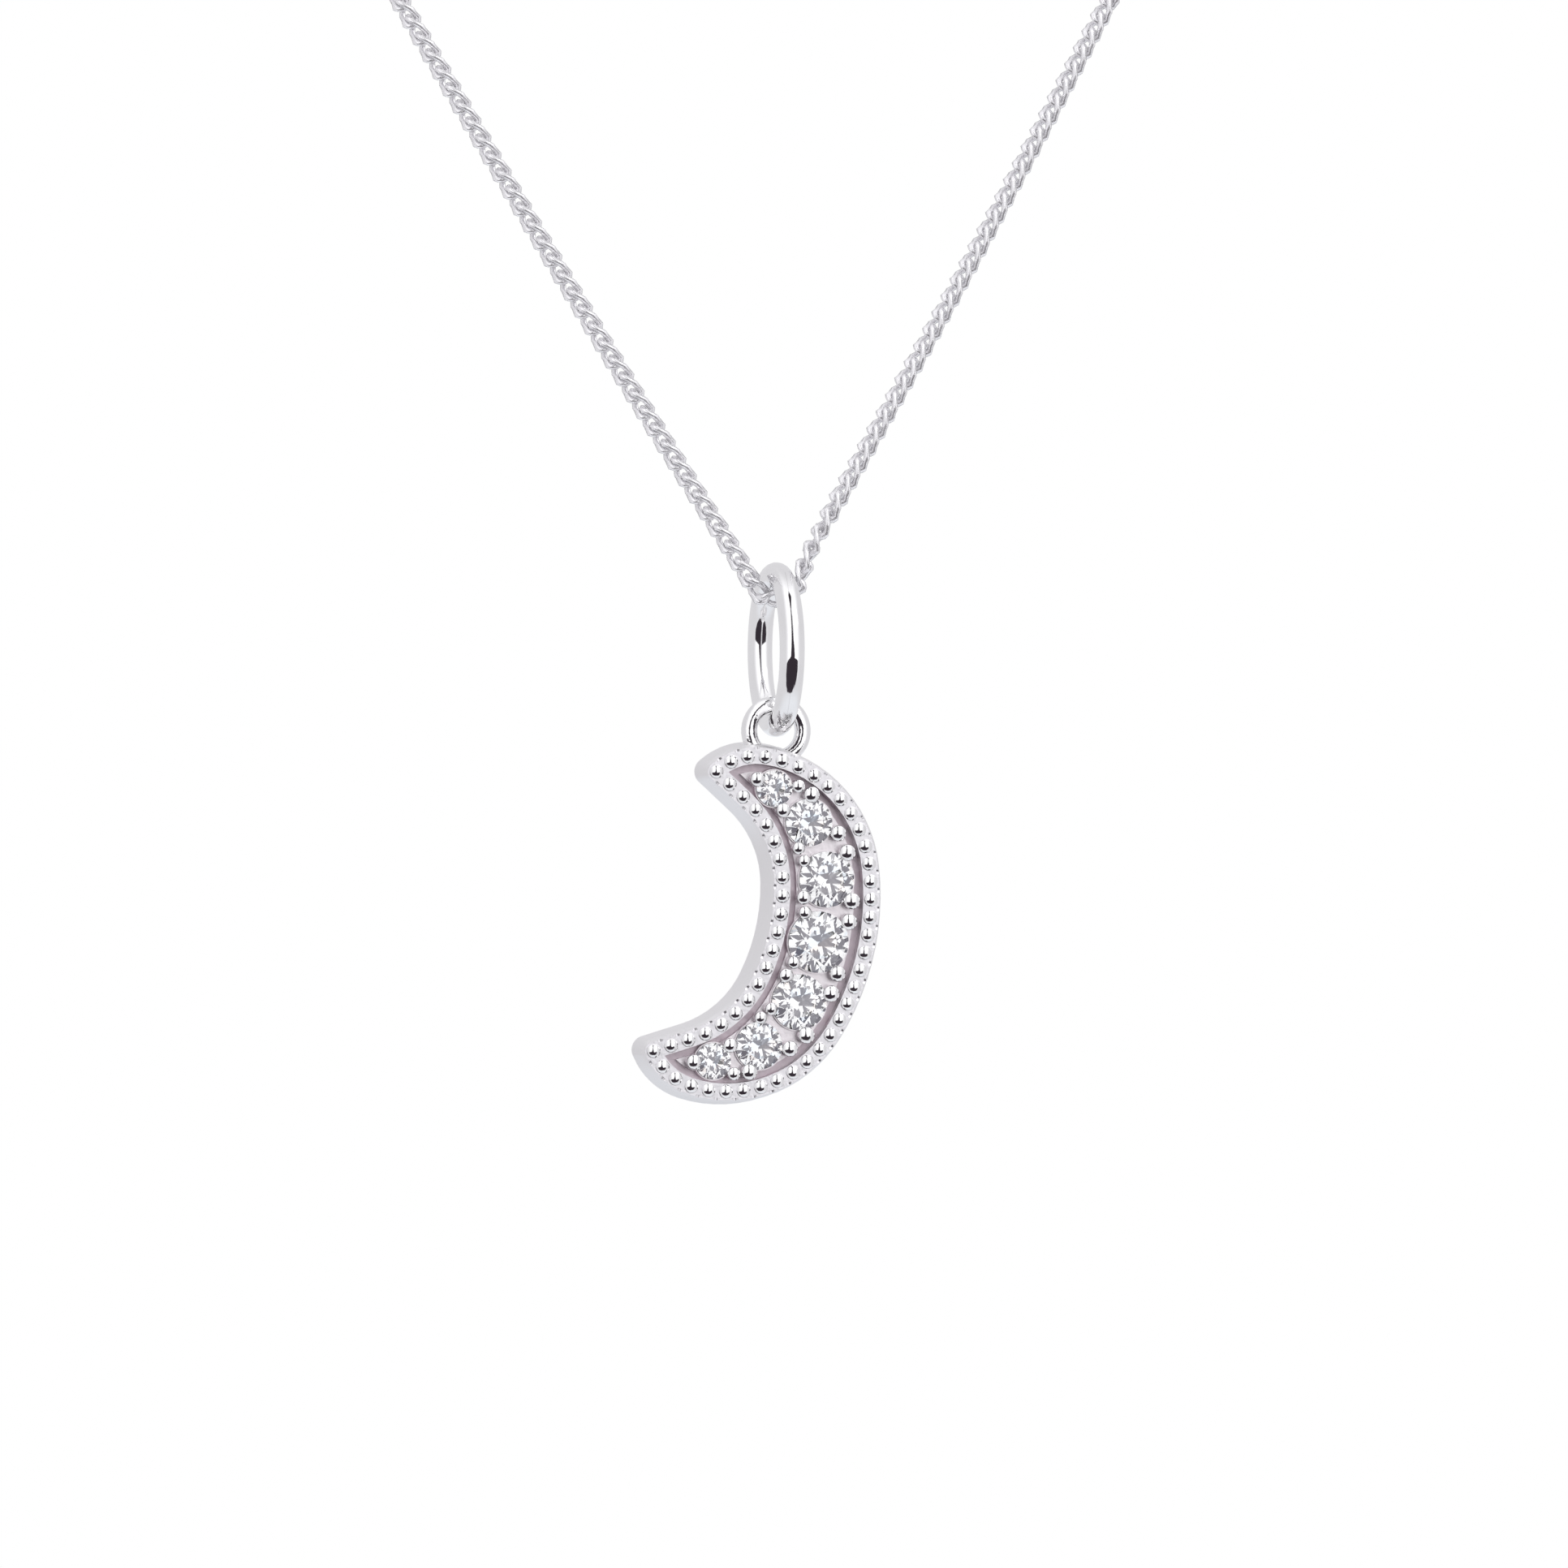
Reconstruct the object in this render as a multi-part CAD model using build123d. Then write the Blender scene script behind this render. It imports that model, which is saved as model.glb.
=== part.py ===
# Crescent moon pendant on a curb chain: seven round stones in a milgrain tray with a
# top loop, hung by a large jump ring from a whole neck loop with its clasp.
# Millimetres. +X is the wearer's left as seen by a viewer, -Y points to the viewer, +Z is up,
# and the origin is where the middle of the clasp rests on the nape.
import math
import os

from build123d import *

# Chain and its route
chain_width = 0.80
chain_thickness = 0.57
hang_gap = 0.03
strand_turn = 59.2
bend_flat = 0.02

# Clasp at the nape
clasp_width = 2.60
clasp_body = 6.00
clasp_edge = 0.60
eye_ring_radius = 0.70
eye_wire = 0.50
eye_sink = 0.10
chain_end_gap = 0.05

# Jump ring
ring_outer = 6.26
ring_wire = 0.89

# Top loop of the moon
loop_outer = 2.54
loop_hole = 1.38
loop_gap = 0.02
loop_place = 0.7935
loop_sink = 0.06

# Crescent, drawn through the two bead rows: u runs to the convex side, v along the chord
moon_tilt = 12.97
half_chord = 5.11
outer_middle = 6.74
outer_middle_radius = 9.16
outer_middle_turn = 19.3
outer_side_radius = 4.50
outer_side_turn = 75.7
inner_middle = 3.47
inner_middle_radius = 7.375
inner_middle_turn = 13.8
inner_side_radius = 4.155
inner_side_turn = 46.3

# Rim and tray, heights above the middle plane towards the viewer
rim_front = 0.75
rim_back = 0.90
rim_outer = 0.38
rim_inner = 0.28
shoulder_width = 0.07
shoulder_height = 0.20
wall_draft = 0.16
back_round = 0.25
tray_floor = 0.30
valley_width = 0.28
bed_height = 0.47

# Milgrain beads, low domes on the rim, and the small notches between them
bead_size = 0.50
bead_pitch = 0.64
bead_rise = 0.04
bead_dome = 0.125
bead_root = 0.15
notch_size = 0.28
notch_depth = 0.045
notch_start = 0.24

# Stones and their seats
stone_size = 2.20
girdle_height = 0.64
stone_fit = 0.02
collar_wall = 0.05
collar_drop = 0.06
culet_hole_share = 0.42

# Each row is a stone from the middle one to the horn: its size as a share of stone_size,
# the bearing from the stone before it in degrees, and the gap to it as a share of stone_size
STONE_ROW = [
    # size, bearing, gap
    (1.000, 0.0, 0.000),
    (0.909, 95.3, 0.073),
    (0.773, 120.6, 0.132),
    (0.591, 149.2, 0.118),
]
middle_stone_place = 5.03

# Prongs, round stems with low domed heads, widths and dome as shares of the prong's size
prong_size = 0.52
prong_foot_share = 0.90
prong_neck_share = 0.74
prong_dome_share = 0.25
prong_height = 0.84
prong_root = 0.07
edge_round_share = 0.12

# Each row is a prong: the stone that it holds, counted from the middle one, its bearing
# from that stone in degrees, its reach past the girdle and its size as shares of prong_size
PRONGS = [
    # stone, bearing, reach, size
    (0, 46.5, 0.40, 1.12),
    (0, 129.4, 0.16, 0.90),
    (1, -27.9, 0.34, 1.15),
    (1, 66.0, 0.39, 1.16),
    (1, 154.7, 0.16, 0.86),
    (1, -130.8, 0.16, 1.00),
    (2, -7.5, 0.50, 1.10),
    (2, 99.3, 0.28, 1.12),
    (2, -101.2, 0.30, 0.88),
    (3, -56.3, 0.34, 1.00),
    (3, 18.6, 0.40, 0.90),
    (3, 165.8, 0.16, 1.02),
]

# Brilliant cut, lengths as shares of the girdle's diameter and angles in degrees
TABLE_SHARE = 0.57
CROWN_ANGLE = 34.5
STAR_ANGLE = 21.5
UPPER_GIRDLE_ANGLE = 41.0
GIRDLE_SHARE = 0.03
PAVILION_ANGLE = 40.8
LOWER_GIRDLE_ANGLE = 42.2
CULET_SHARE = 0.425
EIGHTH = 360 / 8
SIXTEENTH = 360 / 16

# Half of the chain's route from beside the jump ring up to the clasp, from the clasp's middle
NECK_ROUTE = [
    (1.56, -99.86, -117.61),
    (3.69, -99.4, -114.09),
    (7.78, -98.48, -107.04),
    (15.3, -96.5, -93.6),
    (25.9, -93.0, -74.7),
    (36.6, -87.6, -56.2),
    (47.4, -79.3, -40.3),
    (56.0, -67.8, -28.0),
    (59.3, -52.9, -18.7),
    (56.9, -36.7, -11.4),
    (50.7, -21.9, -6.0),
    (41.0, -9.7, -2.4),
    (29.9, -3.5, -0.8),
    (18.2, -0.9, -0.2),
]
CHAIN_LOWEST = (-100.08, -119.36)
RADIUS_SHARE = 0.45


# Half planes and the brilliant cut

def cut_above(solid, bearing, tilt, distance, height):
    """Cut away what lies above a facet that tilts down from the axis outwards."""
    turn = math.radians(bearing)
    slope = math.radians(tilt)
    point = (distance * math.cos(turn), distance * math.sin(turn), height)
    normal = (
        math.sin(slope) * math.cos(turn),
        math.sin(slope) * math.sin(turn),
        math.cos(slope),
    )
    return solid.split(Plane(origin=point, z_dir=normal), keep=Keep.BOTTOM)


def brilliant(diameter, margin=0.0):
    """A round brilliant with its girdle's middle at height 0 and its table up."""
    radius = diameter / 2
    girdle = diameter * GIRDLE_SHARE / 2
    table = radius * TABLE_SHARE
    crown = girdle + (radius - table) * math.tan(math.radians(CROWN_ANGLE))
    chord = radius * math.cos(math.radians(SIXTEENTH / 2))
    culet = girdle + diameter * CULET_SHARE

    def facet(solid, bearing, tilt, distance, height):
        slope = math.radians(tilt)
        distance += margin * math.sin(slope)
        height += math.copysign(margin * math.cos(slope), height)
        if height > 0:
            return cut_above(solid, bearing, tilt, distance, height)
        return cut_above(solid, bearing, 180 - tilt, distance, height)

    stone = Cylinder(radius + margin, 2 * diameter)
    stone = facet(stone, 0, 0, 0, crown)
    stone = facet(stone, 0, 0, 0, -culet)
    for step in range(8):
        main = step * EIGHTH
        stone = facet(stone, main, CROWN_ANGLE, radius, girdle)
        star_distance = table * math.cos(math.radians(EIGHTH / 2))
        stone = facet(stone, main + EIGHTH / 2, STAR_ANGLE, star_distance, crown)
        stone = facet(stone, main, PAVILION_ANGLE, radius, -girdle)
        for side in (-1, 1):
            half = main + side * SIXTEENTH / 2
            stone = facet(stone, half, UPPER_GIRDLE_ANGLE, chord, girdle)
            stone = facet(stone, half, LOWER_GIRDLE_ANGLE, chord, -girdle)
    return stone


# Crescent in its own plane

def outer_half():
    """The outer bead row from the middle to the upper horn."""
    middle = JernArc((outer_middle, 0), (0, 1), outer_middle_radius, outer_middle_turn)
    side = JernArc(middle @ 1, middle % 1, outer_side_radius, outer_side_turn)
    horn = TangentArc(side @ 1, (0, half_chord), tangent=side % 1)
    return [middle, side, horn]


def inner_half():
    """The inner bead row from the middle to the upper horn."""
    middle = JernArc((inner_middle, 0), (0, 1), inner_middle_radius, inner_middle_turn)
    side = JernArc(middle @ 1, middle % 1, inner_side_radius, inner_side_turn)
    return [middle, side, Line(side @ 1, (0, half_chord))]


def crescent_face():
    """The face between the two bead rows."""
    upper = outer_half() + inner_half()
    lower = [edge.mirror(Plane.XZ) for edge in upper]
    return make_face(upper + lower)


def row_places(edges):
    """Bead places on a half row, from the middle up to but without the horn's tip."""
    row = Wire(edges)
    count = round(row.length / bead_pitch)
    return [row.position_at(row.length * step / count, PositionMode.LENGTH) for step in range(count)]


def bead_places():
    """All milgrain beads: both rows, mirrored about the middle, and the two tips."""
    upper = row_places(outer_half()) + row_places(inner_half())
    places = [(place.X, place.Y) for place in upper]
    places.append((0, half_chord))
    mirrored = [(u, -v) for u, v in places if v > bead_pitch / 2]
    return places + mirrored


def notch_places():
    """Places and bearings of the notches on the rim's outer side, half way between beads."""
    places = []
    for edges, side in ((outer_half(), 1), (inner_half(), -1)):
        row = Wire(edges)
        count = round(row.length / bead_pitch)
        for step in range(count):
            distance = row.length * (step + 0.5) / count
            place = row.position_at(distance, PositionMode.LENGTH)
            along = row.tangent_at(distance, PositionMode.LENGTH)
            bearing = math.degrees(math.atan2(-side * along.X, side * along.Y))
            places += [(place.X, place.Y, bearing), (place.X, -place.Y, -bearing)]
    return places


def stone_places():
    """Size and place of each stone, from the lower horn to the upper horn."""
    upper = []
    u, v, before = middle_stone_place, 0.0, 0.0
    for share, bearing, gap in STONE_ROW:
        size = stone_size * share
        if upper:
            step = (before + size) / 2 + gap * stone_size
            u += step * math.cos(math.radians(bearing))
            v += step * math.sin(math.radians(bearing))
        upper.append((size, u, v))
        before = size
    lower = [(size, u, -v) for size, u, v in reversed(upper[1:])]
    return lower + upper


def prong_places():
    """Size and place of each prong of the upper half and its mirror image."""
    upper = stone_places()[len(STONE_ROW) - 1:]
    places = []
    for stone, bearing, reach, share in PRONGS:
        size, u, v = upper[stone]
        distance = size / 2 + reach * prong_size
        u += distance * math.cos(math.radians(bearing))
        v += distance * math.sin(math.radians(bearing))
        places += [(prong_size * share, u, v), (prong_size * share, u, -v)]
    return places


def loop_centre():
    """Middle of the top loop's hole, sunk a little into the rim's outer wall."""
    row = Wire(outer_half())
    distance = row.length * loop_place
    place = row.position_at(distance, PositionMode.LENGTH)
    along = row.tangent_at(distance, PositionMode.LENGTH)
    out = rim_outer + loop_hole / 2 - loop_sink
    return (place.X + along.Y * out, place.Y - along.X * out)


# The cast setting

def rim_and_tray():
    """The crescent's wall, wider at the back, with its tray open to the front."""
    back_outline = offset(crescent_face(), rim_outer + wall_draft, kind=Kind.ARC).face()
    front_outline = offset(crescent_face(), rim_outer, kind=Kind.ARC).face()
    sections = [Pos(0, 0, -rim_back) * back_outline, Pos(0, 0, rim_front) * front_outline]
    body = loft(sections, ruled=True)
    front = body.faces().sort_by(Axis.Z)[-1]
    front_edges = front.outer_wire().edges()
    body = chamfer(front_edges, shoulder_width, shoulder_height, reference=front)
    back = body.faces().sort_by(Axis.Z)[0]
    body = fillet(back.outer_wire().edges(), back_round)
    hollow = offset(crescent_face(), -rim_inner, kind=Kind.ARC)
    return body - Pos(0, 0, tray_floor) * extrude(hollow, rim_front, dir=(0, 0, 1))


def stone_bed():
    """The raised bed between the stones, with a valley between it and the rim."""
    island = offset(crescent_face(), -rim_inner - valley_width, kind=Kind.ARC)
    return Pos(0, 0, tray_floor) * extrude(island, bed_height - tray_floor, dir=(0, 0, 1))


def dome(size, rise, root):
    """A short pin with a low round top, its rim at height 0 and its root below that."""
    radius = size / 2
    crown = (radius ** 2 + rise ** 2) / (2 * rise)
    pin = Pos(0, 0, (rise - root) / 2) * Cylinder(radius, rise + root)
    pin = pin & Pos(0, 0, rise - crown) * Sphere(crown)
    rim = pin.edges().filter_by(Plane.XY).sort_by(Axis.Z)[-1]
    return fillet(rim, edge_round_share * size)


def prong(size):
    """A tapered stem from the tray's floor with a domed head."""
    stem_height = prong_height - prong_root / 2 - tray_floor
    foot = prong_foot_share * size / 2
    neck = prong_neck_share * size / 2
    stem = Pos(0, 0, tray_floor + stem_height / 2) * Cone(foot, neck, stem_height)
    return stem + Pos(0, 0, prong_height) * dome(size, prong_dome_share * size, prong_root)


def notch():
    """A shallow scallop across the rim's outer edge, its bed below height 0."""
    length = rim_outer + wall_draft - notch_start
    lift = notch_size / 2 - notch_depth
    return Pos(notch_start + length / 2, 0, lift) * Rot(0, 90, 0) * Cylinder(notch_size / 2, length)


def seat_collar(size):
    """The raised round plate that carries a stone's girdle."""
    height = girdle_height - collar_drop - tray_floor
    return Pos(0, 0, tray_floor + height / 2) * Cylinder(size / 2 + collar_wall, height)


def top_loop():
    """The plain round loop that the jump ring passes through."""
    wire = (loop_outer - loop_hole) / 4
    return Torus(loop_hole / 2 + wire, wire)


def make_setting():
    """The whole cast piece in the crescent's own plane."""
    bead = dome(bead_size, bead_dome, bead_root)
    raised = [Pos(u, v, rim_front + bead_rise) * bead for u, v in bead_places()]
    raised.append(stone_bed())
    raised += [Pos(u, v, 0) * prong(size) for size, u, v in prong_places()]
    raised += [Pos(u, v, 0) * seat_collar(size) for size, u, v in stone_places()]
    raised.append(Pos(*loop_centre()) * top_loop())
    groove = notch()
    cuts = [Pos(u, v, rim_front) * Rot(0, 0, turn) * groove for u, v, turn in notch_places()]
    for size, u, v in stone_places():
        cuts.append(Pos(u, v, girdle_height) * brilliant(size, stone_fit))
        hole = Cylinder(size * culet_hole_share / 2, 2 * rim_back)
        cuts.append(Pos(u, v, -rim_back) * hole)
    return rim_and_tray() + raised - cuts


# Chain and clasp

def clasp_end():
    """Distance from the clasp's middle to the outside of its eyes."""
    return clasp_body / 2 - eye_sink + 2 * eye_ring_radius + eye_wire / 2


def tube_width():
    """The flat chain as a round tube of its mean width."""
    return (chain_width + chain_thickness) / 2


def bend_radius():
    """Radius of the chain's middle line where it runs under the jump ring's wire."""
    return (tube_width() + ring_wire) / 2 + hang_gap


def chain_route():
    """The route's points from one side of the clasp round to the other."""
    y, z = CHAIN_LOWEST
    corner = bend_radius() * math.tan(math.radians(strand_turn / 2)) + bend_flat / 2
    half = [(corner, y, z)] + NECK_ROUTE + [(clasp_end() + chain_end_gap, 0, 0)]
    left = [(-x, y, z) for x, y, z in reversed(half)]
    shift = clasp_width / 2
    return [Vector(x, y + shift, z) for x, y, z in left + half]


def corner_radii(points):
    """An arc at each corner as large as its two runs allow, and tight under the ring."""
    radii = []
    for before, corner, after in zip(points, points[1:], points[2:]):
        turn = (corner - before).get_angle(after - corner)
        shorter = min((corner - before).length, (after - corner).length)
        widest = RADIUS_SHARE * shorter / math.tan(math.radians(turn / 2))
        at_ring = abs(corner.X) < ring_wire + chain_width
        radii.append(bend_radius() if at_ring and turn > 45 else widest)
    return radii


def make_chain():
    """The chain as a tube along the whole route."""
    points = chain_route()
    radii = corner_radii(points)
    print("radii", [round(radius, 2) for radius in radii])
    path = FilletPolyline(*points, radius=radii)
    section = Plane(origin=path @ 0, z_dir=path % 0) * Circle(tube_width() / 2)
    tube = sweep(section, path=path)
    print("chain length", round(path.length, 2))
    print("necklace length", round(path.length + 2 * (clasp_end() + chain_end_gap), 2))
    print("tube volume", round(tube.volume, 2))
    print("section times length", round(path.length * math.pi * tube_width() ** 2 / 4, 2))
    return tube


def make_clasp():
    """A plain barrel with an eye at each end."""
    barrel = Rot(0, 90, 0) * Cylinder(clasp_width / 2, clasp_body)
    barrel = fillet(barrel.edges().filter_by(GeomType.CIRCLE), clasp_edge)
    eye_place = clasp_body / 2 - eye_sink + eye_ring_radius
    eye = Rot(90, 0, 0) * Torus(eye_ring_radius, eye_wire / 2)
    clasp = barrel + Pos(eye_place, 0, 0) * eye + Pos(-eye_place, 0, 0) * eye
    return Pos(0, clasp_width / 2, 0) * clasp


# Everything in its place

def main():
    os.makedirs("parts", exist_ok=True)
    y = CHAIN_LOWEST[0] + clasp_width / 2
    ring_radius = (ring_outer - ring_wire) / 2
    ring_z = CHAIN_LOWEST[1] + bend_radius() - ring_radius
    loop_z = ring_z - ring_radius - (loop_hole / 2 - ring_wire / 2 - loop_gap)
    print("swing axis", (0, y, CHAIN_LOWEST[1]))
    print("sway axis", (0, y, ring_z - ring_radius))

    tilt = math.radians(moon_tilt)
    across = Vector(math.cos(tilt), 0, -math.sin(tilt))
    along = Vector(math.sin(tilt), 0, math.cos(tilt))
    loop_u, loop_v = loop_centre()
    print("loop centre in the crescent", (round(loop_u, 3), round(loop_v, 3)))
    origin = Vector(0, y, loop_z) - across * loop_u - along * loop_v
    moon_plane = Plane(origin=origin, x_dir=across, z_dir=(0, -1, 0))

    pieces = {"moon_setting": moon_plane * make_setting()}
    for number, (size, u, v) in enumerate(stone_places(), start=1):
        place = moon_plane * Pos(u, v, girdle_height)
        pieces[f"stone_{number}"] = place * brilliant(size)
    ring = Torus(ring_radius, ring_wire / 2)
    pieces["jump_ring"] = Pos(0, y, ring_z) * Rot(0, 90, 0) * ring
    pieces["chain"] = make_chain()
    pieces["clasp"] = make_clasp()
    for name, piece in pieces.items():
        export_step(piece, f"parts/{name}.step")


main()
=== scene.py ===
# Crescent moon pendant on a fine curb chain: the links, finishes, light and camera around its solids.
# Metres; -Y is the front, +Z is up, and the clasp rests on the nape at the origin.
import math

import bpy
from mathutils import Matrix, Vector


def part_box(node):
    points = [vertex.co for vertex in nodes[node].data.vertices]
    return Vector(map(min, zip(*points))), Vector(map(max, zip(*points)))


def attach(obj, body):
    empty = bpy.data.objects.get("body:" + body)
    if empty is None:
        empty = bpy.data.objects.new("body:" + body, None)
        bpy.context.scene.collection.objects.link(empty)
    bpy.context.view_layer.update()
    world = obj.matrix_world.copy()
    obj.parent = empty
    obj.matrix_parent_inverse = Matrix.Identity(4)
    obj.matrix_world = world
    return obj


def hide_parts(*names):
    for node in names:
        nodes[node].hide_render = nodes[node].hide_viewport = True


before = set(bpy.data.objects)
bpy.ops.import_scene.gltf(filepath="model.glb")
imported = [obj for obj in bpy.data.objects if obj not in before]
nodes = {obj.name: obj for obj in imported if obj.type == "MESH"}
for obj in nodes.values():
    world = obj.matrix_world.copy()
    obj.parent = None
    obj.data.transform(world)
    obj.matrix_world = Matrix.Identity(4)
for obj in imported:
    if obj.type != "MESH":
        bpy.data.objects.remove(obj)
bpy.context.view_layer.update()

scene = bpy.context.scene
print("frame loaded")


# Camera, as the photograph sees the pendant
photoView = {
    "azimuth": -12.5,
    "distance": 0.300,
    "fieldOfView": 10.7,
    "loopMiddle": (0, -0.09878, -0.12414),  # the moon's top loop
    "aimRight": 0.00029,
    "aimUp": -0.0019,
    "clip": (0.01, 20),
}
turn = math.radians(photoView["azimuth"])
cameraSide = Vector((math.sin(turn), -math.cos(turn), 0))
cameraRight = Vector((math.cos(turn), math.sin(turn), 0))


def addCamera(view):
    aim = Vector(view["loopMiddle"]) + cameraRight * view["aimRight"] + Vector((0, 0, view["aimUp"]))
    place = aim + cameraSide * view["distance"]
    bpy.ops.object.camera_add(location=place, rotation=(math.pi / 2, 0, turn))
    camera = bpy.context.object
    camera.name = "photoCamera"
    camera.data.angle = math.radians(view["fieldOfView"])
    camera.data.clip_start, camera.data.clip_end = view["clip"]
    scene.camera = camera


addCamera(photoView)
scene.view_settings.view_transform = "Standard"
print("camera placed")


# Node helpers
def addNode(tree, kind, inputs=None, **settings):
    made = tree.nodes.new(kind)
    for name, value in settings.items():
        setattr(made, name, value)
    for key, value in (inputs or {}).items():
        if isinstance(value, bpy.types.NodeSocket):
            tree.links.new(value, made.inputs[key])
        else:
            made.inputs[key].default_value = value
    return made


def maths(tree, operation, first, second, third=0.0):
    made = addNode(tree, "ShaderNodeMath", {0: first, 1: second, 2: third}, operation=operation)
    return made.outputs[0]


def dotWith(tree, vector, fixed):
    made = addNode(tree, "ShaderNodeVectorMath", {0: vector, 1: fixed}, operation="DOT_PRODUCT")
    return made.outputs["Value"]


def smoothRange(tree, value, low, high, outLow=0.0, outHigh=1.0):
    made = addNode(tree, "ShaderNodeMapRange", {0: value, 1: low, 2: high, 3: outLow, 4: outHigh},
                   interpolation_type="SMOOTHSTEP")
    return made.outputs[0]


def insideBand(tree, value, band, edge):
    low, high = band
    rising = smoothRange(tree, value, low - edge, low + edge)
    falling = smoothRange(tree, value, high - edge, high + edge, 1.0, 0.0)
    return maths(tree, "MULTIPLY", rising, falling)


def mixColours(tree, share, first, second):
    made = addNode(tree, "ShaderNodeMix", {0: share, 6: first, 7: second}, data_type="RGBA")
    return made.outputs[2]


# Light tent: white walls with a slit that opens downwards in front of the camera
lightTent = {
    "wall": (0.74, 0.735, 0.755, 1),
    "softBoxes": (1.22, 1.22, 1.24, 1),
    "below": (0.86, 0.88, 0.92, 1),
    "opening": (0.038, 0.03, 0.038, 1),
    "openingThroughStone": (0.21, 0.20, 0.235, 1),
    "background": (1.0, 1.0, 1.0, 1),
    # places are those on a mirror ball, from -1 to 1
    "boxesAcross": (-0.36, 0.50),
    "boxesHeight": (-0.26, 0.72),
    "boxesEdge": 0.16,
    "belowFrom": (-0.35, -0.62),
    "slitMiddle": 0.03,
    "slitEdge": 0.012,
    # height, and half the slit's width there
    "slit": [(-0.50, 0.0), (-0.46, 0.24), (-0.36, 0.38), (-0.24, 0.45), (-0.13, 0.44), (-0.08, 0.12),
             (0.10, 0.07), (0.45, 0.03), (0.60, 0.07), (0.66, 0.0)],
}


def makeSlit(tree, across, height, tent):
    ramp = addNode(tree, "ShaderNodeValToRGB", {0: maths(tree, "MULTIPLY_ADD", height, 0.5, 0.5)})
    stops = ramp.color_ramp.elements
    while len(stops) > 1:
        stops.remove(stops[-1])
    for number, (at, halfWidth) in enumerate(tent["slit"]):
        position = 0.5 + at / 2
        stop = stops[0] if number == 0 else stops.new(position)
        stop.position = position
        stop.color = (halfWidth, halfWidth, halfWidth, 1)
    offMiddle = maths(tree, "ABSOLUTE", maths(tree, "SUBTRACT", across, tent["slitMiddle"]), 0.0)
    depth = maths(tree, "SUBTRACT", ramp.outputs[0], offMiddle)
    return smoothRange(tree, depth, -tent["slitEdge"], tent["slitEdge"])


def makeLightTent(tent):
    world = bpy.data.worlds.new("lightTent")
    scene.world = world
    world.use_nodes = True
    tree = world.node_tree
    tree.nodes.clear()
    place = addNode(tree, "ShaderNodeTexCoord").outputs["Generated"]
    halfway = addNode(tree, "ShaderNodeVectorMath", {0: place, 1: cameraSide}, operation="ADD")
    ball = addNode(tree, "ShaderNodeVectorMath", {0: halfway.outputs[0]}, operation="NORMALIZE").outputs[0]
    across = dotWith(tree, ball, cameraRight)
    height = dotWith(tree, ball, (0, 0, 1))
    opening = makeSlit(tree, across, height, tent)

    boxes = maths(tree, "MULTIPLY", insideBand(tree, across, tent["boxesAcross"], tent["boxesEdge"]),
                  insideBand(tree, height, tent["boxesHeight"], tent["boxesEdge"]))
    low = smoothRange(tree, height, *tent["belowFrom"])
    colour = mixColours(tree, low, tent["wall"], tent["below"])
    colour = mixColours(tree, boxes, colour, tent["softBoxes"])
    rays = addNode(tree, "ShaderNodeLightPath")
    dark = mixColours(tree, rays.outputs["Is Transmission Ray"], tent["opening"], tent["openingThroughStone"])
    colour = mixColours(tree, opening, colour, dark)
    colour = mixColours(tree, rays.outputs["Is Camera Ray"], colour, tent["background"])
    background = addNode(tree, "ShaderNodeBackground", {0: colour})
    output = addNode(tree, "ShaderNodeOutputWorld")
    tree.links.new(background.outputs[0], output.inputs[0])


# Floor and lamp, in metres and watts
studioFloor = {"radius": 3.0, "height": -0.45, "steps": 96, "colour": (0.93, 0.93, 0.93, 1), "roughness": 0.9}
keyLight = {"right": 0.62, "up": 0.72, "front": 0.42, "distance": 1.2, "size": (0.5, 0.7), "power": 1.6}


def addFloor(look):
    bpy.ops.mesh.primitive_circle_add(vertices=look["steps"], radius=look["radius"], fill_type="NGON",
                                      location=(0, 0, look["height"]))
    floor = bpy.context.object
    floor.name = "floor"
    material = bpy.data.materials.new("paleFloor")
    material.use_nodes = True
    shader = material.node_tree.nodes["Principled BSDF"]
    shader.inputs["Base Color"].default_value = look["colour"]
    shader.inputs["Roughness"].default_value = look["roughness"]
    floor.data.materials.append(material)
    floor.visible_glossy = False
    floor.visible_transmission = False


def addSoftLight(name, light):
    away = cameraRight * light["right"] + Vector((0, 0, light["up"])) + cameraSide * light["front"]
    away.normalize()
    place = Vector(photoView["loopMiddle"]) + away * light["distance"]
    bpy.ops.object.light_add(type="AREA", location=place)
    lamp = bpy.context.object
    lamp.name = name
    lamp.rotation_euler = away.to_track_quat("Z", "Y").to_euler()
    lamp.data.shape = "RECTANGLE"
    lamp.data.size, lamp.data.size_y = light["size"]
    lamp.data.energy = light["power"]


makeLightTent(lightTent)
addFloor(studioFloor)
addSoftLight("keyLight", keyLight)
print("light tent and floor made")


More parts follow.
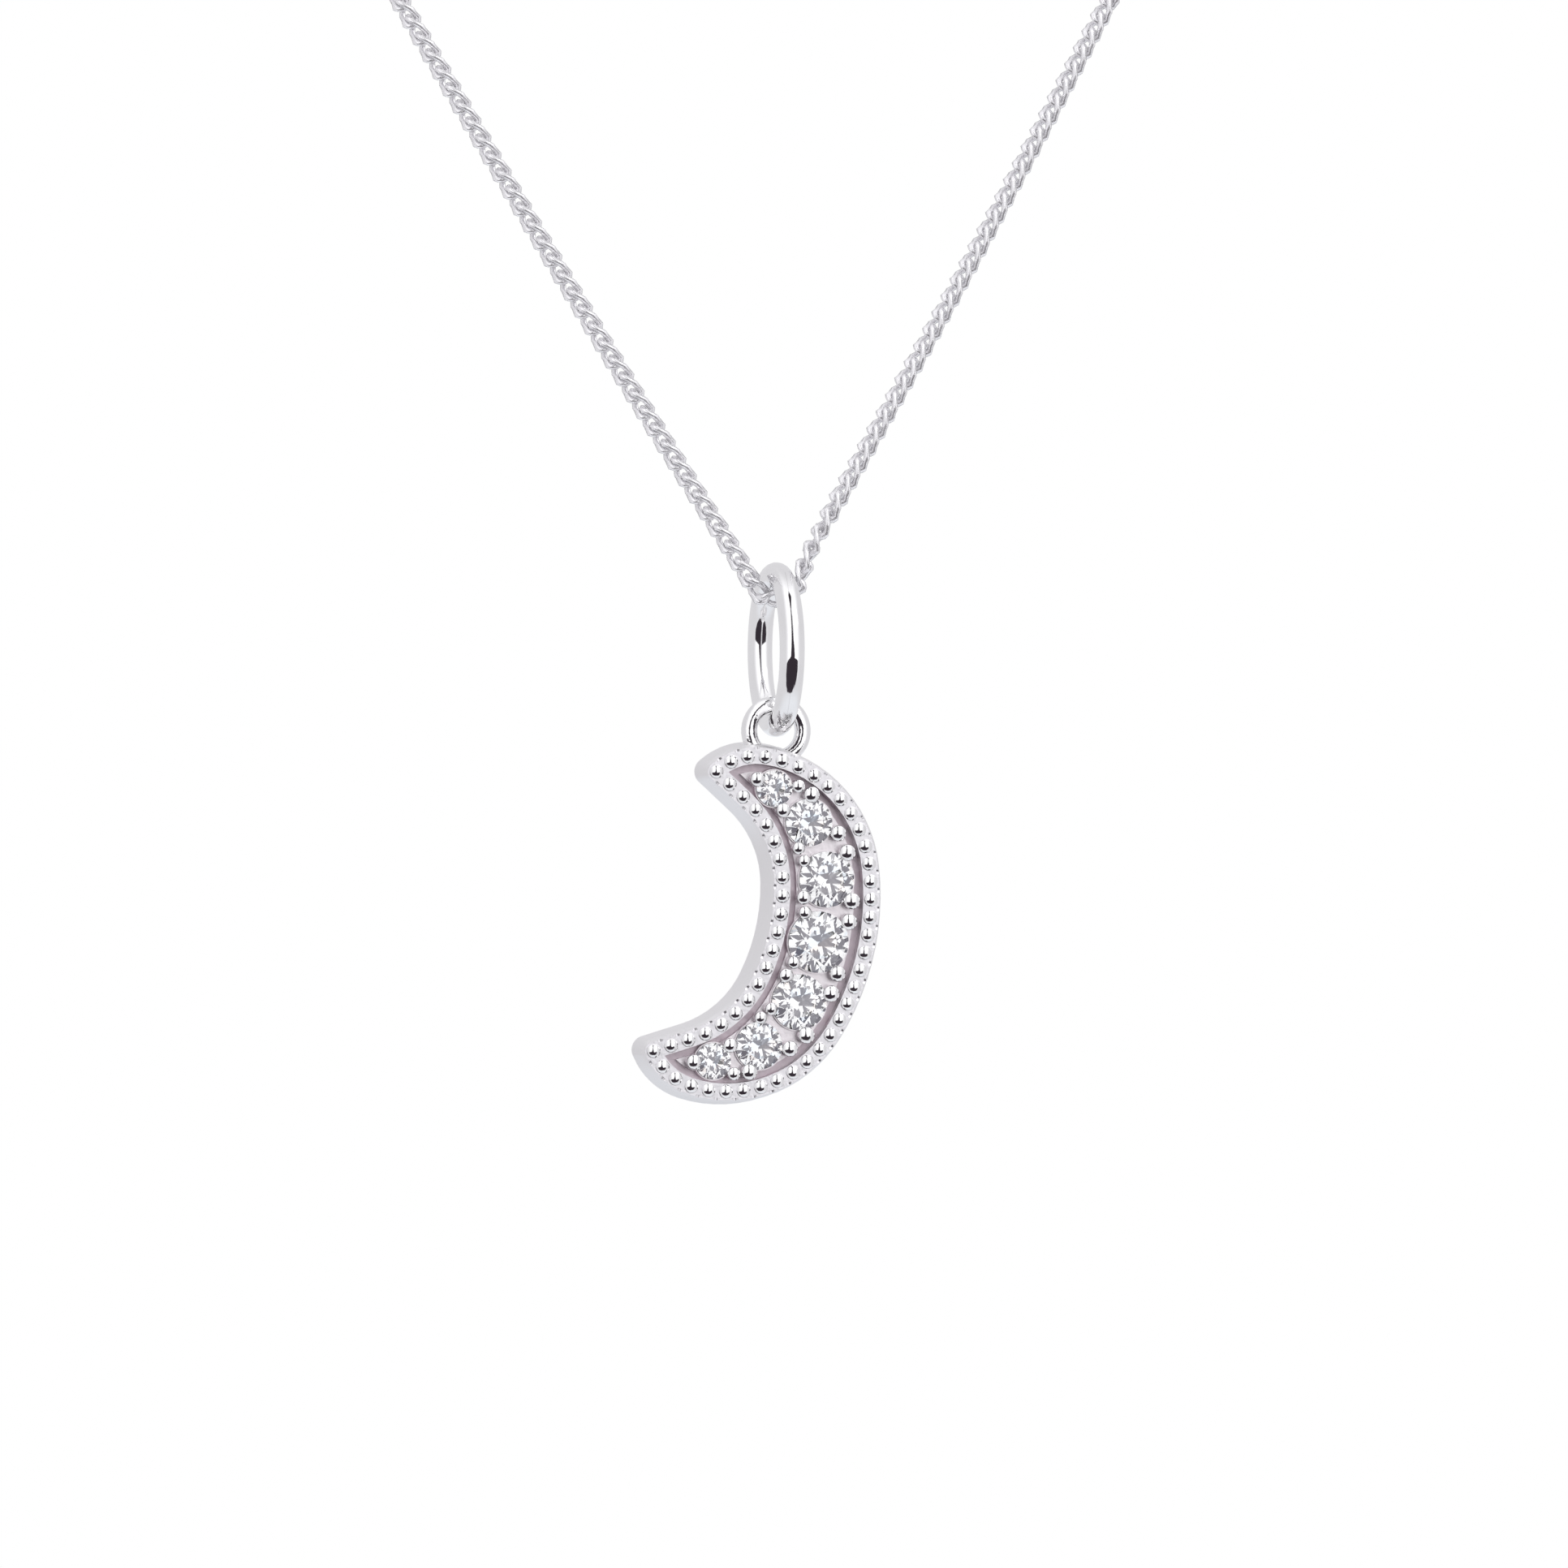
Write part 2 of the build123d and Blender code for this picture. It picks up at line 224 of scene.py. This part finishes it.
# Curb chain: one twisted link, copied along the necklace's line
chainLine = {
    # points in metres: the left half from the clasp down, the bend under the ring, the right half up
    "left": [
        (-0.0046, 0.0013, 0), (-0.0182, 0.0004, -0.0002), (-0.0299, -0.0022, -0.0008),
        (-0.041, -0.0084, -0.0024), (-0.0507, -0.0206, -0.006), (-0.0569, -0.0354, -0.0114),
        (-0.0593, -0.0516, -0.0187), (-0.056, -0.0665, -0.028), (-0.0474, -0.078, -0.0403),
        (-0.0366, -0.0863, -0.0562), (-0.0259, -0.0917, -0.0747),
        (-0.01565, -0.0952, -0.0936), (-0.008, -0.09718, -0.10704), (-0.00378, -0.0981, -0.11409),
        (-0.00162, -0.09862, -0.11758), (-0.0009, -0.09876, -0.11879), (-0.00045, -0.09878, -0.11937),
    ],
    "right": [
        (0.00042, -0.09878, -0.11937), (0.00084, -0.09878, -0.11875), (0.0013, -0.09862, -0.11758),
        (0.00342, -0.0981, -0.11409), (0.00766, -0.09718, -0.10704), (0.0153, -0.0952, -0.0936),
        (0.0259, -0.0917, -0.0747), (0.0366, -0.0863, -0.0562), (0.0474, -0.078, -0.0403),
        (0.056, -0.0665, -0.028), (0.0593, -0.0516, -0.0187), (0.0569, -0.0354, -0.0114),
        (0.0507, -0.0206, -0.006), (0.041, -0.0084, -0.0024), (0.0299, -0.0022, -0.0008),
        (0.0182, 0.0004, -0.0002), (0.0046, 0.0013, 0),
    ],
    "resolution": 40,
    "order": 3,
    "neckMiddle": (0, -0.045, 0),  # the links face away from it
    "lean": 0.01,
    "keptLink": (-0.00075, -0.09878, -0.11905),  # the lowest link seen beside the ring
    "turnsOver": (0.0005, 0.0026),  # between these two places across, the links turn over about the line
    "turnsBack": (0.035, 0.09),  # metres along the line from the kept link
    "roll": (-52, -118),  # degrees, left and right of the bend
    "frontTo": 0.027,  # the links up to here are seen close and are rounder
}
curbLink = {
    "wire": 0.00027,
    "flatness": 0.93,
    "halfLength": 0.00052,
    "halfWidth": 0.00028,
    "drawnOut": (0.0, 0.25),  # the ring's halves are drawn apart in these steps, as shares of its width
    "margin": 0.001,  # and what lies at a step itself stays
    "twist": -156,  # degrees from end to end
    "pitch": 0.00071,
    "endGap": 0.00066,  # from the line's end to the middle of the last link
    "frontSteps": (16, 6),  # round the link, and round its wire
    "neckSteps": (14, 5),
}


def readLine(line):
    points = line["left"] + line["right"]
    curve = bpy.data.curves.new("chainLine", "CURVE")
    curve.dimensions = "3D"
    curve.resolution_u = line["resolution"]
    spline = curve.splines.new("NURBS")
    spline.points.add(len(points) - 1)
    for point, place in zip(spline.points, points):
        point.co = (*place, 1)
    spline.order_u = line["order"]
    spline.use_endpoint_u = True
    obj = bpy.data.objects.new("chainLine", curve)
    scene.collection.objects.link(obj)
    mesh = bpy.data.meshes.new_from_object(obj)
    places = [vertex.co.copy() for vertex in mesh.vertices]
    bpy.data.objects.remove(obj)
    bpy.data.meshes.remove(mesh)
    return places


def lengthsAlong(places):
    lengths = [0.0]
    for before, after in zip(places, places[1:]):
        lengths.append(lengths[-1] + (after - before).length)
    return lengths


def deselectAll():
    for obj in bpy.context.selected_objects:
        obj.select_set(False)


def modelLink(link, steps):
    around, sides = steps
    radius = link["halfWidth"]
    deselectAll()
    bpy.ops.mesh.primitive_torus_add(major_segments=around, minor_segments=sides,
                                     major_radius=radius, minor_radius=link["wire"] / 2)
    obj = bpy.context.object
    bpy.ops.transform.resize(value=(1, 1, link["flatness"]))
    bpy.ops.object.transform_apply(scale=True)
    stretch = (link["halfLength"] - radius) / len(link["drawnOut"])
    for side in (-1, 1):
        for share in link["drawnOut"]:
            bpy.ops.object.mode_set(mode="EDIT")
            bpy.ops.mesh.select_mode(type="VERT")
            bpy.ops.mesh.select_all(action="DESELECT")
            bpy.ops.object.mode_set(mode="OBJECT")
            for vertex in obj.data.vertices:
                bearing = math.tau * (vertex.index // sides) / around
                vertex.select = math.cos(bearing) * side > share + link["margin"]
            bpy.ops.object.mode_set(mode="EDIT")
            bpy.ops.transform.translate(value=(side * stretch, 0, 0))
            bpy.ops.object.mode_set(mode="OBJECT")
    twist = obj.modifiers.new("twist", "SIMPLE_DEFORM")
    twist.deform_method = "TWIST"
    twist.deform_axis = "X"
    twist.angle = math.radians(link["twist"])
    bpy.ops.object.modifier_apply(modifier="twist")
    bpy.ops.object.shade_smooth()
    return obj


def joinCopies(name, pattern, places):
    copies = []
    for place in places:
        copy = bpy.data.objects.new(name, pattern.data.copy())
        copy.data.transform(place)
        scene.collection.objects.link(copy)
        copies.append(copy)
    bpy.data.objects.remove(pattern)
    return joinAll(name, copies)


def joinAll(name, objects):
    deselectAll()
    for obj in objects:
        obj.select_set(True)
    bpy.context.view_layer.objects.active = objects[0]
    bpy.ops.object.join()
    objects[0].name = name
    return objects[0]


def smoothStep(value, low, high):
    share = min(1.0, max(0.0, (value - low) / (high - low)))
    return share * share * (3 - 2 * share)


def linkRoll(line, across, fromKept):
    left, right = line["roll"]
    rolled = left + (right - left) * smoothStep(across, *line["turnsOver"])
    return math.radians(rolled) * (1 - smoothStep(abs(fromKept), *line["turnsBack"]))


def stepsAlong(whole, kept, link):
    last = whole - link["endGap"]
    before = round((kept - link["endGap"]) / link["pitch"])
    after = round((last - kept) / link["pitch"])
    steps = [link["endGap"] + (kept - link["endGap"]) * number / before for number in range(before)]
    return steps + [kept + (last - kept) * number / after for number in range(after + 1)]


def placeLinks(line, link):
    places = readLine(line)
    lengths = lengthsAlong(places)
    keptLink = Vector(line["keptLink"])
    kept = lengths[min(range(len(places)), key=lambda number: (places[number] - keptLink).length)]
    found, step = [], 0
    for at in stepsAlong(lengths[-1], kept, link):
        while lengths[step + 1] < at and step < len(lengths) - 2:
            step += 1
        share = (at - lengths[step]) / (lengths[step + 1] - lengths[step])
        middle = places[step].lerp(places[step + 1], share)
        ahead = places[min(step + 2, len(places) - 1)] - places[max(step - 1, 0)]
        ahead.normalize()
        out = middle - Vector(line["neckMiddle"])
        out.z = line["lean"]
        out = (out - ahead * out.dot(ahead)).normalized()
        roll = linkRoll(line, middle.x, at - kept)
        out = out * math.cos(roll) + out.cross(ahead) * math.sin(roll)
        turned = Matrix((ahead, out.cross(ahead), out)).transposed().to_4x4()
        found.append((at - kept, Matrix.Translation(middle) @ turned))
    print("links", len(found), "line", round(lengths[-1] * 1000, 2), "kept at", round(kept * 1000, 2))
    return found


def makeChain(line, link):
    found = placeLinks(line, link)
    near = [place for at, place in found if abs(at) < line["frontTo"]]
    far = [place for at, place in found if abs(at) >= line["frontTo"]]
    front = joinCopies("chain_front", modelLink(link, link["frontSteps"]), near)
    neck = joinCopies("chain_neck", modelLink(link, link["neckSteps"]), far)
    for piece in (front, neck):
        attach(piece, "neck_loop")
    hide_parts("chain")
    return front, neck


chainFront, chainNeck = makeChain(chainLine, curbLink)
print("chain made")


# Small open rings between the clasp's eyes and the last links
endRing = {
    "radius": 0.00062,
    "wire": 0.00018,
    "across": 0.00455,
    "behind": 0.0013,
    "slit": 4,  # degrees
    "steps": (30, 10),  # round the ring, and round its wire
    "weld": 1e-7,
    "smoothTo": 50,
}


def makeEndRing(ring, side):
    around, sides = ring["steps"]
    deselectAll()
    middle = Vector((side * ring["across"], ring["behind"], 0))
    bpy.ops.mesh.primitive_circle_add(vertices=sides, radius=ring["wire"] / 2, fill_type="NGON",
                                      location=middle + Vector((0, ring["radius"], 0)),
                                      rotation=(0, math.pi / 2, 0))
    bpy.ops.object.transform_apply(location=True, rotation=True, scale=True)
    obj = bpy.context.object
    bpy.ops.object.mode_set(mode="EDIT")
    bpy.ops.mesh.select_all(action="SELECT")
    bpy.ops.mesh.spin(steps=around, angle=math.radians(360 - ring["slit"]), center=middle, axis=(0, 0, 1))
    bpy.ops.mesh.select_all(action="SELECT")
    bpy.ops.mesh.remove_doubles(threshold=ring["weld"])
    bpy.ops.mesh.normals_make_consistent(inside=False)
    bpy.ops.object.mode_set(mode="OBJECT")
    bpy.ops.object.shade_smooth_by_angle(angle=math.radians(ring["smoothTo"]))
    return obj


claspRings = joinAll("clasp_rings", [makeEndRing(endRing, side) for side in (-1, 1)])
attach(claspRings, "neck_loop")
print("end rings made")


# Finishes, with painted shade in the moon's valley and painted fire on the stones
polishedSilver = {"colour": (0.93, 0.925, 0.93, 1), "metal": 1.0, "bright": 0.05, "dull": 0.14,
                  "patch": 900, "ripple": 5200, "rippleDepth": 0.09}
ringSilver = {**polishedSilver, "rippleDepth": 0.012}
chainSilver = {"colour": (0.95, 0.94, 0.96, 1), "metal": 0.7, "bright": 0.22, "dull": 0.34,
               "patch": 1500, "ripple": 9000, "rippleDepth": 0.03}
claspSilver = {"colour": (0.91, 0.91, 0.91, 1), "metal": 1.0, "bright": 0.08, "dull": 0.18,
               "patch": 700, "ripple": 4000, "rippleDepth": 0.04}
silverSurface = {
    "patchDetail": 4.0,
    "rippleDetail": 2.0,
    "rippleHeight": 0.0001,
    "dullOver": (0.35, 0.72),  # the patches' values over which the metal goes dull, and dark
    "darkOver": (0.3, 0.8),
    "dark": 0.95,
}
# the moon's satin surfaces, each a band of height above its middle plane; the valley's dark mauve is partly a
# pinkish polish tone and partly painted shade
moonZones = {
    "front": -0.09878,
    "loopMiddle": (0, 0, -0.12414),
    "loopRadius": 0.00129,  # the loop stays polished
    "aboveLoop": 0.0003,
    "prongReach": 0.00031,  # from a stone's rim
    "plate": 0.0002,
    "edge": 0.000006,
    "flatFacing": (0.8, 0.95),  # how squarely the rim's and the tray's faces look to the front
    "trayFacing": (0.4, 0.6),
    "wall": {"band": (-0.001, 0.000762), "colour": (0.89, 0.88, 0.89, 1), "roughness": 0.42},
    "rim": {"band": (0.00070, 0.000762), "colour": (0.84, 0.825, 0.85, 1), "roughness": 0.30},
    # painted shade: the sunk valley between rim and stones is darkened to mauve, partly a pinkish polish tone
    # and partly painted shade of the recess
    "shadedValley": {"band": (0.0002, 0.00042), "colour": (0.71, 0.62, 0.67, 1), "roughness": 0.45},
    "bed": {"band": (0.00042, 0.00062), "colour": (0.94, 0.89, 0.92, 1), "roughness": 0.36},
}
stoneLook = {
    "plain": (1, 1, 1, 1),
    # painted fire: random facets tinted warm or cool stand in for the stone's dispersion
    "paintedFire": [(0.84, (1.0, 0.90, 0.84, 1)), (0.91, (0.80, 0.90, 1.0, 1))],  # facets drawn above each share
    "refraction": 2.16,
}


def newMaterial(name):
    material = bpy.data.materials.new(name)
    material.use_nodes = True
    return material, material.node_tree, material.node_tree.nodes["Principled BSDF"]


def layOver(tree, share, looks, zone):
    colour = mixColours(tree, share, looks[0], zone["colour"])
    roughness = addNode(tree, "ShaderNodeMix", {0: share, 2: looks[1], 3: zone["roughness"]}).outputs[0]
    return colour, roughness


def lengthFrom(tree, place, middle):
    made = addNode(tree, "ShaderNodeVectorMath", {0: place, 1: middle}, operation="DISTANCE")
    return made.outputs["Value"]


def nearStones(tree, flatPlace, margin):
    nearest = 1.0
    for number in range(1, 8):
        low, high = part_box(f"stone_{number}")
        middle = ((low[0] + high[0]) / 2, 0, (low[2] + high[2]) / 2)
        beyond = maths(tree, "SUBTRACT", lengthFrom(tree, flatPlace, middle), (high[0] - low[0]) / 2)
        nearest = maths(tree, "MINIMUM", beyond, nearest)
    return maths(tree, "LESS_THAN", nearest, margin)


def addMoonZones(tree, coordinates, looks, zones):
    facing = dotWith(tree, coordinates["Normal"], (0, -1, 0))
    height = maths(tree, "SUBTRACT", zones["front"], dotWith(tree, coordinates["Object"], (0, 1, 0)))
    flatPlace = addNode(tree, "ShaderNodeVectorMath", {0: coordinates["Object"], 1: (1, 0, 1)},
                        operation="MULTIPLY").outputs["Vector"]
    fromLoop = lengthFrom(tree, flatPlace, zones["loopMiddle"])
    clear = maths(tree, "MAXIMUM", maths(tree, "GREATER_THAN", height, zones["aboveLoop"]),
                  maths(tree, "GREATER_THAN", fromLoop, zones["loopRadius"]))
    amongProngs = maths(tree, "MULTIPLY", nearStones(tree, flatPlace, zones["prongReach"]),
                        maths(tree, "GREATER_THAN", height, zones["plate"]))
    outside = maths(tree, "SUBTRACT", clear, amongProngs)
    flat = maths(tree, "MULTIPLY", clear, smoothRange(tree, facing, *zones["flatFacing"]))
    inTray = maths(tree, "MAXIMUM", amongProngs, smoothRange(tree, facing, *zones["trayFacing"]))
    tray = maths(tree, "MULTIPLY", clear, inTray)
    # the valley band lays painted shade into the recess; wall, rim and bed are satin tones
    for name, share in (("wall", outside), ("rim", flat), ("shadedValley", tray), ("bed", tray)):
        level = insideBand(tree, height, zones[name]["band"], zones["edge"])
        looks = layOver(tree, maths(tree, "MULTIPLY", level, share), looks, zones[name])
    return looks


def makeSilver(name, silver, surface, zones=None):
    material, tree, shader = newMaterial(name)
    coordinates = addNode(tree, "ShaderNodeTexCoord").outputs
    place = coordinates["Object"]
    patches = addNode(tree, "ShaderNodeTexNoise", {"Vector": place, "Scale": silver["patch"],
                                                   "Detail": surface["patchDetail"]}).outputs[0]
    ripples = addNode(tree, "ShaderNodeTexNoise", {"Vector": place, "Scale": silver["ripple"],
                                                   "Detail": surface["rippleDetail"]}).outputs[0]
    darkColour = tuple(surface["dark"] * part for part in silver["colour"][:3]) + (1,)
    roughness = smoothRange(tree, patches, *surface["dullOver"], silver["bright"], silver["dull"])
    colour = mixColours(tree, smoothRange(tree, patches, *surface["darkOver"]), silver["colour"], darkColour)
    if zones:
        colour, roughness = addMoonZones(tree, coordinates, (colour, roughness), zones)
    tree.links.new(colour, shader.inputs["Base Color"])
    tree.links.new(roughness, shader.inputs["Roughness"])
    bump = addNode(tree, "ShaderNodeBump", {"Strength": silver["rippleDepth"],
                                            "Distance": surface["rippleHeight"], "Height": ripples})
    tree.links.new(bump.outputs[0], shader.inputs["Normal"])
    shader.inputs["Metallic"].default_value = silver["metal"]
    return material


def makeStone(name, look):
    material, tree, shader = newMaterial(name)
    facet = addNode(tree, "ShaderNodeNewGeometry").outputs["True Normal"]
    drawn = addNode(tree, "ShaderNodeTexWhiteNoise", {"Vector": facet}, noise_dimensions="3D")
    ramp = addNode(tree, "ShaderNodeValToRGB", {0: drawn.outputs["Value"]})
    ramp.color_ramp.interpolation = "CONSTANT"
    stops = ramp.color_ramp.elements
    stops.remove(stops[1])
    stops[0].color = look["plain"]
    # painted fire: facets above each share get a warm or cool tint in place of dispersed light
    for share, tint in look["paintedFire"]:
        stops.new(share).color = tint
    tree.links.new(ramp.outputs[0], shader.inputs["Base Color"])
    shader.inputs["Transmission Weight"].default_value = 1.0
    shader.inputs["Roughness"].default_value = 0.0
    shader.inputs["IOR"].default_value = look["refraction"]
    return material


def dress(obj, material):
    if not obj.material_slots:
        obj.data.materials.append(material)
    for slot in obj.material_slots:
        slot.material = material


dress(nodes["moon_setting"], makeSilver("moonSilver", polishedSilver, silverSurface, moonZones))
dress(nodes["jump_ring"], makeSilver("ringSilver", ringSilver, silverSurface))
dress(nodes["clasp"], makeSilver("claspSilver", claspSilver, silverSurface))
dress(claspRings, makeSilver("claspRingSilver", claspSilver, silverSurface))
fineSilver = makeSilver("chainSilver", chainSilver, silverSurface)
for piece in (chainFront, chainNeck, nodes["chain"]):
    dress(piece, fineSilver)
clearStone = makeStone("clearStone", stoneLook)
for name, obj in nodes.items():
    if name.startswith("stone_"):
        dress(obj, clearStone)
print("finishes made")
